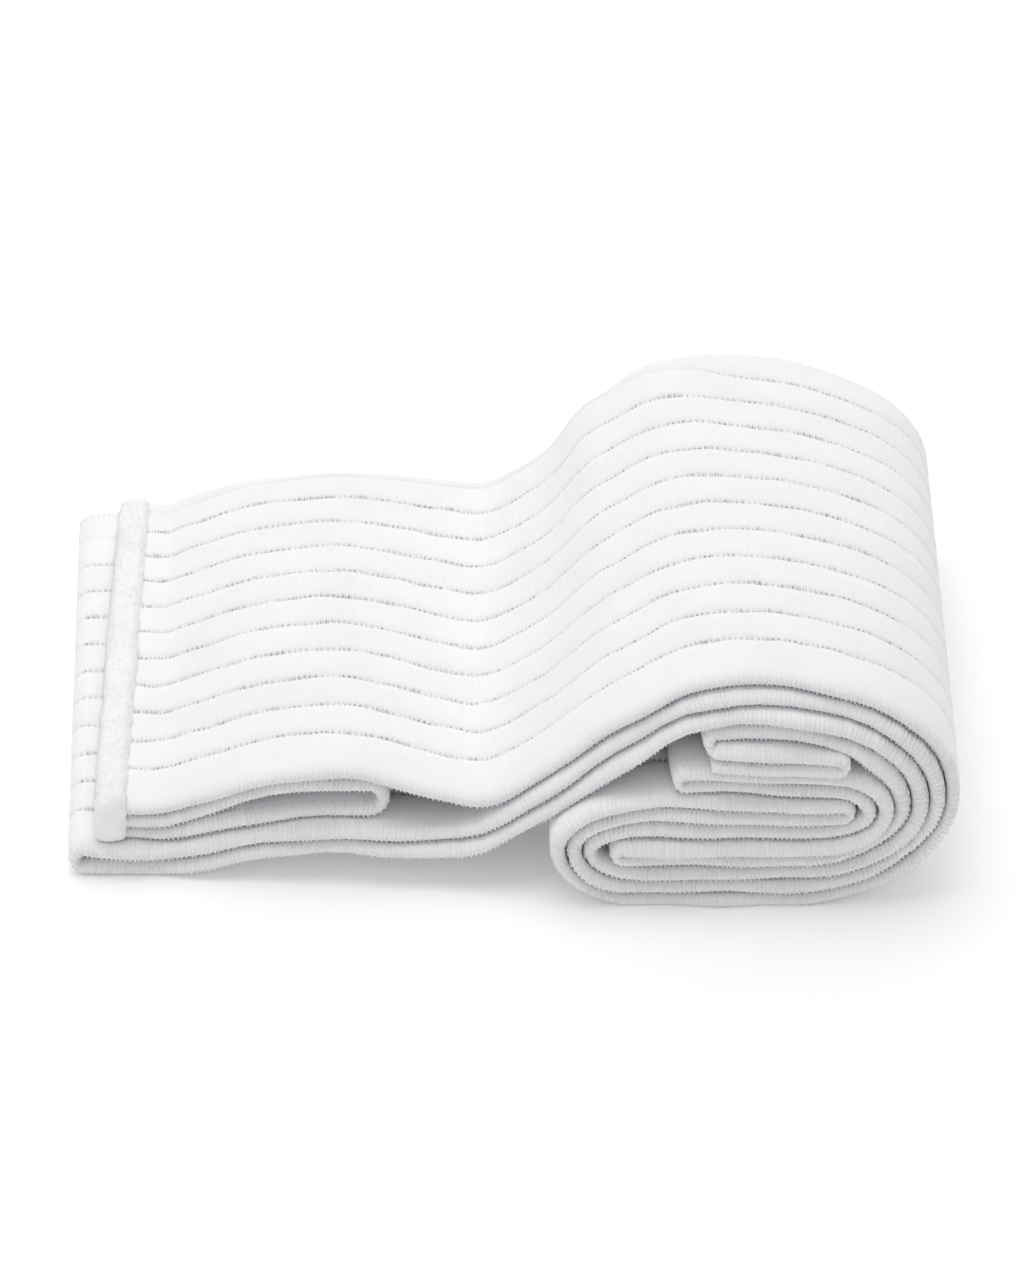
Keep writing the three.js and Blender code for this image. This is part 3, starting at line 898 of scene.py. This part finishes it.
class BANDAGE_OT_ladders(bpy.types.Operator):
    """Lace the open stretches of the ladder lines with short slanting threads"""

    bl_idname = "bandage.ladders"
    bl_label = "Ladder Threads"

    # The three rings of a thread by their place across the groove and their height, and the three points of a
    # ring by their place along the strip and their height
    RINGS = ((-1.15, -0.1), (0.0, 0.0), (1.15, -0.1))
    POINTS = ((-1.0, -0.1), (0.0, 0.09), (1.0, -0.1))

    # Unevenness of the threads in place, slant, girth and height at the middle, and how open a line has to be
    STRAY = (-0.06, 0.06)
    SLANT = (0.0, 0.2)
    GIRTH = (0.08, 0.15)
    RISE = (-0.16, -0.02)
    OPEN_ENOUGH = (0.5, 0.8)

    # Length at both ends of a laced stretch that is left without threads
    BARE = 1.0

    def execute(self, context):
        strip, path, width, half = measures(context.scene)
        draw = np.random.default_rng(7)
        thread = fabric("Ladder thread", tuple(strip.thread_tone), 1.0 / strip.rib_pitch, THREAD)
        for name, side, first, last in (
            ("outer_ladders", 1.0, "top", "outer"),
            ("inner_ladders", -1.0, "middle", "lower"),
        ):
            laced = (path.stretch[first][0] + self.BARE, path.stretch[last][1] - self.BARE)
            lines = [self.threads(strip, path, k, laced, draw) for k in range(strip.line_count)]
            s, v, h = np.concatenate(lines, axis=1)
            verts = on_cloth(path, s, v, side * (half + h), width)
            one = tube_faces(len(self.RINGS), len(self.POINTS), turned=side > 0)
            piece = small_pieces(name, verts, one, s, v)
            finish_piece(piece, thread, "ribbed_knit")
        return {"FINISHED"}

    def threads(self, strip, path, k, laced, draw):
        """Points of every thread of ladder line k: along the strip, across it and over its face."""
        groove, pitch, last = strip.line_half / MM, strip.rung_pitch / MM, strip.line_count - 1
        place = line_places(strip)[k]
        centres = np.arange(math.ceil(laced[0] / pitch), math.floor(laced[1] / pitch)) * pitch
        centres = centres + draw.uniform(*self.STRAY, len(centres))
        enough = draw.uniform(*self.OPEN_ENOUGH, len(centres))
        centres = centres[line_open(path, centres, k, last) > enough]
        count = len(centres)
        slant = draw.uniform(*self.SLANT, count)
        girth = draw.uniform(*self.GIRTH, count)
        rise = draw.uniform(*self.RISE, count)
        points = []
        for across, level in self.RINGS:
            for sideways, lift in self.POINTS:
                s = centres + across * slant + sideways * girth
                v = place + line_wander(s, k) + across * groove * line_open(path, s, k, last)
                h = np.full(count, level + lift) + (rise if across == 0.0 else 0.0)
                points.append((s, v, h))
        return np.array(points).transpose(1, 2, 0)


BINDING_LEVEL = END_RUNS[0].upper


def lumps(point, size, seed):
    """Smooth random lumps, from -1 to 1."""
    return noise.noise(Vector((point[0] * size + seed, point[1] * size, point[2] * size)))


def hump(turn, middle, reach):
    """A smooth hump of height 1 round a section, at a turn in radians."""
    return math.exp(-(((turn - middle) / reach) ** 2))


class BANDAGE_OT_binding(bpy.types.Operator):
    """Model the fuzzy binding over the strip's outer end"""

    bl_idname = "bandage.binding"
    bl_label = "Binding"

    # How far inside the top sheet's far edge the tape ends, the lengths of its two ends that have close
    # sections, and the lengths over which the ends close, with how open they stay
    FAR_INSET = 1.4
    NEAR_END, FAR_END = 2.6, 2.4
    NEAR_CLOSE, FAR_CLOSE, LEAST_OPEN = 1.3, 1.2, 0.02

    # How far the near end droops, and the length that does
    DROOP, DROOP_LENGTH = 0.7, 3.0

    # Points round a section, sections between the ends and at each end, and how square a section is
    AROUND, SECTIONS, END_SECTIONS, SQUARENESS = 44, 170, 8, 0.8

    # Height, turn and reach of the ridge along the top and of the furrow beside it
    RIDGE, FURROW = (0.12, 1.25, 0.22), (0.1, 1.75, 0.25)

    # Height, size and seed of the two kinds of lump, and how much more crumpled the near end is, and where
    LUMPS = ((0.2, 0.4, 3.0), (0.14, 1.1, 8.0))
    CRUMPLE, CRUMPLE_WHOLE, CRUMPLE_GONE = 1.6, 1.0, 7.0

    # Fibres: radius and rooted depth in millimetres, wildness, and the shortest as a share of the pile
    FIBRE_RADIUS, FIBRE_ROOT, FIBRE_WILD, FIBRE_SHORTEST = 0.025, 0.1, 0.55, 0.35

    def execute(self, context):
        binding = context.scene.bandage_binding
        width = context.scene.bandage_strip.width / MM
        near = END_EDGES["lower"] - binding.overhang / MM
        far = SHEET_EDGES["top"] + width - self.FAR_INSET
        rings = [self.ring(binding, y, near, far) for y in self.stations(near, far)]
        faces = tube_faces(len(rings), self.AROUND, turned=True)
        places = np.array([point for ring in rings for point in ring])
        piece = new_mesh("end_binding_tape", lay(*places.T, width, BINDING_LEVEL), faces)
        tape = fabric("Fuzzy tape", tuple(binding.tape_tone), TAPE_RIBS, TAPE)
        finish_piece(piece, tape, "binding_tape", "end_binding")
        fuzz = self.fuzz(piece.data, binding)
        finish_piece(fuzz, tape, "binding_tape")
        return {"FINISHED"}

    def stations(self, near, far):
        """Places along the tape, close together at its rounded ends."""
        ends = 0.5 - 0.5 * np.cos(np.linspace(0.0, math.pi / 2, self.END_SECTIONS))
        between = np.linspace(near + self.NEAR_END, far - self.FAR_END, self.SECTIONS)[1:-1]
        return np.concatenate([near + self.NEAR_END * ends, between, far - self.FAR_END * ends[::-1]])

    def ring(self, binding, y, near, far):
        """The tape's section at a place across the strip: rounded, lumpy and closing towards both ends."""
        left, low = binding.left / MM, binding.low / MM
        across, height = binding.width / MM, binding.height / MM
        short = max(0.0, 1.0 - (y - near) / self.NEAR_CLOSE, 1.0 - (far - y) / self.FAR_CLOSE)
        open_share = math.sqrt(max(self.LEAST_OPEN, 1.0 - short * short))
        droop = self.DROOP * (1.0 - ease(y, near, near + self.DROOP_LENGTH))
        middle = (left + across / 2, low + height / 2 - droop)
        smooth = ease(y, near + self.CRUMPLE_WHOLE, near + self.CRUMPLE_GONE)
        crumple = 1.0 + self.CRUMPLE * (1.0 - smooth)
        ridge, *ridge_place = self.RIDGE
        furrow, *furrow_place = self.FURROW
        ring = []
        for turn in np.linspace(0.0, math.tau, self.AROUND, endpoint=False):
            side, rise = (
                math.copysign(abs(part) ** self.SQUARENESS, part) * size / 2
                for part, size in ((math.cos(turn), across), (math.sin(turn), height))
            )
            point = Vector((middle[0] + side * open_share, y, middle[1] + rise * open_share))
            lump = sum(tall * lumps(point, size, seed) for tall, size, seed in self.LUMPS)
            proud = ridge * hump(turn, *ridge_place) - furrow * hump(turn, *furrow_place) + crumple * lump
            swell = 1.0 + proud * open_share / math.hypot(side, rise)
            ring.append((middle[0] + side * open_share * swell, y, middle[1] + rise * open_share * swell))
        return ring

    def fuzz(self, mesh, binding):
        """Short fibres standing out of the tape."""
        draw = random.Random(23)
        mesh.calc_loop_triangles()
        triangles = [tuple(t.vertices) for t in mesh.loop_triangles]
        areas = np.cumsum([t.area for t in mesh.loop_triangles])
        fibres = []
        for _ in range(binding.fibre_count):
            triangle = triangles[int(np.searchsorted(areas, draw.random() * areas[-1]))]
            corners = [mesh.vertices[i] for i in triangle]
            u, w = sorted((draw.random(), draw.random()))
            share = (u, w - u, 1.0 - w)
            foot = sum((corner.co * part for corner, part in zip(corners, share)), Vector())
            out = sum((corner.normal * part for corner, part in zip(corners, share)), Vector()).normalized()
            wild = Vector((draw.gauss(0, 1), draw.gauss(0, 1), draw.gauss(0, 1))) * self.FIBRE_WILD
            lean = (out + wild).normalized()
            side = lean.cross(Vector((0.3, 0.5, 0.8))).normalized() * self.FIBRE_RADIUS * MM
            other = lean.cross(side).normalized() * self.FIBRE_RADIUS * MM
            tip = foot + lean * binding.pile * draw.uniform(self.FIBRE_SHORTEST, 1.0)
            root = foot - lean * self.FIBRE_ROOT * MM
            fibres.append([root + side, root - side * 0.5 + other, root - side * 0.5 - other, tip])
        verts = np.array([[point[:] for point in fibre] for fibre in fibres])
        one = [(0, 1, 3), (1, 2, 3), (2, 0, 3), (2, 1, 0)]
        flat = np.zeros(verts.shape[:2])
        return small_pieces("binding_fuzz", verts, one, flat, flat)


# Soft square lights: the setting that holds the strength, the size and the place in metres
Lamp = namedtuple("Lamp", "name setting size place")
LAMPS = (
    Lamp("Overhead", "key", 1.1, (-0.13, 0.22, 0.97)),
    Lamp("Back", "back", 1.2, (0.0, 1.3, 0.7)),
    Lamp("Front", "front", 1.2, (-0.1, -1.3, 0.9)),
)
LAMP_AIM = (0.0, 0.0, 0.01)

# The floor in metres, just under the bandage, and how much it glows
FLOOR_SIZE, FLOOR_DROP, FLOOR_GLOW = 8.0, 0.00002, 0.1
WHITE = (1.0, 1.0, 1.0, 1.0)

# The picture's size in pixels, and the place in it of the table under the nearest edge, where the route's
# X is 0
PICTURE_WIDE, PICTURE_HIGH = 1024, 1278
MARK_RIGHT, MARK_DOWN = 514.0, 909.0


class BANDAGE_OT_stage(bpy.types.Operator):
    """Set the floor, the soft light and the camera"""

    bl_idname = "bandage.stage"
    bl_label = "Stage"

    def execute(self, context):
        stage = context.scene.bandage_stage
        self.floor(stage)
        for lamp in LAMPS:
            self.light(lamp, getattr(stage, lamp.setting))
        world = bpy.data.worlds.new("Studio")
        world.use_nodes = True
        backdrop = world.node_tree.nodes["Background"]
        feed(world.node_tree, backdrop.inputs, {"Color": WHITE, "Strength": stage.ambient})
        context.scene.world = world
        context.scene.view_settings.view_transform = "Standard"
        self.camera(stage)
        return {"FINISHED"}

    @staticmethod
    def floor(stage):
        bpy.ops.object.select_all(action="DESELECT")
        bpy.ops.mesh.primitive_plane_add(size=FLOOR_SIZE, location=(0.0, 0.0, -FLOOR_DROP))
        floor = bpy.context.active_object
        floor.name = "floor"
        paper = bpy.data.materials.new("Floor paper")
        paper.use_nodes = True
        shader = paper.node_tree.nodes["Principled BSDF"]
        look = {
            "Base Color": tuple(stage.floor_tone),
            "Roughness": 0.9,
            "Specular IOR Level": 0.1,
            "Emission Color": WHITE,
            "Emission Strength": FLOOR_GLOW,
        }
        feed(paper.node_tree, shader.inputs, look)
        floor.data.materials.append(paper)

    @staticmethod
    def light(lamp, power):
        """A soft square light that faces the bandage."""
        panel = bpy.data.lights.new(lamp.name, "AREA")
        panel.energy = power
        panel.size = lamp.size
        holder = bpy.data.objects.new(lamp.name, panel)
        holder.location = lamp.place
        aim = Vector(LAMP_AIM) - Vector(lamp.place)
        holder.rotation_euler = aim.to_track_quat("-Z", "Y").to_euler()
        bpy.context.scene.collection.objects.link(holder)

    @staticmethod
    def camera(stage):
        """Looks along +Y and down, with the marked place on the table where the picture has it."""
        distance = stage.focal_pixels / stage.scale_pixels * MM
        tilt = stage.elevation
        forward = Vector((0.0, math.cos(tilt), -math.sin(tilt)))
        up = Vector((0.0, math.sin(tilt), math.cos(tilt)))
        right = Vector((1.0, 0.0, 0.0))
        near = Vector((ORIGIN[0], ORIGIN[1], 0.0)) * MM
        across = (MARK_RIGHT - PICTURE_WIDE / 2) / stage.focal_pixels
        down = (MARK_DOWN - PICTURE_HIGH / 2) / stage.focal_pixels
        lens = bpy.data.cameras.new("Camera")
        lens.sensor_fit = "HORIZONTAL"
        lens.lens = lens.sensor_width * stage.focal_pixels / PICTURE_WIDE
        camera = bpy.data.objects.new("Camera", lens)
        camera.location = near - (forward + right * across - up * down) * distance
        camera.rotation_euler = (math.pi / 2 - tilt, 0.0, 0.0)
        bpy.context.scene.collection.objects.link(camera)
        bpy.context.scene.camera = camera


class BANDAGE_PT_panel(bpy.types.Panel):
    """Lists the bandage's pieces in the sidebar"""

    bl_idname = "BANDAGE_PT_panel"
    bl_label = "Bandage"
    bl_space_type = "VIEW_3D"
    bl_region_type = "UI"
    bl_category = "Bandage"

    def draw(self, context):
        column = self.layout.column()
        for operator in OPERATORS:
            column.operator(operator.bl_idname)
        for group in SETTINGS:
            settings = getattr(context.scene, group)
            for name in settings.__annotations__:
                column.prop(settings, name)


OPERATORS = (
    BANDAGE_OT_strip,
    BANDAGE_OT_selvedges,
    BANDAGE_OT_ladders,
    BANDAGE_OT_binding,
    BANDAGE_OT_stage,
)
SETTINGS = {
    "bandage_strip": BandageStrip,
    "bandage_binding": BandageBinding,
    "bandage_stage": BandageStage,
}
CLASSES = (*SETTINGS.values(), *OPERATORS, BANDAGE_PT_panel)


def register():
    for cls in CLASSES:
        bpy.utils.register_class(cls)
    for name, group in SETTINGS.items():
        setattr(bpy.types.Scene, name, bpy.props.PointerProperty(type=group))


def unregister():
    for name in SETTINGS:
        delattr(bpy.types.Scene, name)
    for cls in reversed(CLASSES):
        bpy.utils.unregister_class(cls)


def main():
    register()
    bpy.ops.bandage.strip()
    bpy.ops.bandage.selvedges()
    bpy.ops.bandage.ladders()
    bpy.ops.bandage.binding()
    bpy.ops.bandage.stage()
    strip, path, *_ = measures(bpy.context.scene)
    others = ["near_selvedge", "far_selvedge", "outer_ladders", "inner_ladders"]
    others += ["end_binding_tape", "binding_fuzz"]
    bpy.context.view_layer.update()


if __name__ == "__main__":
    main()
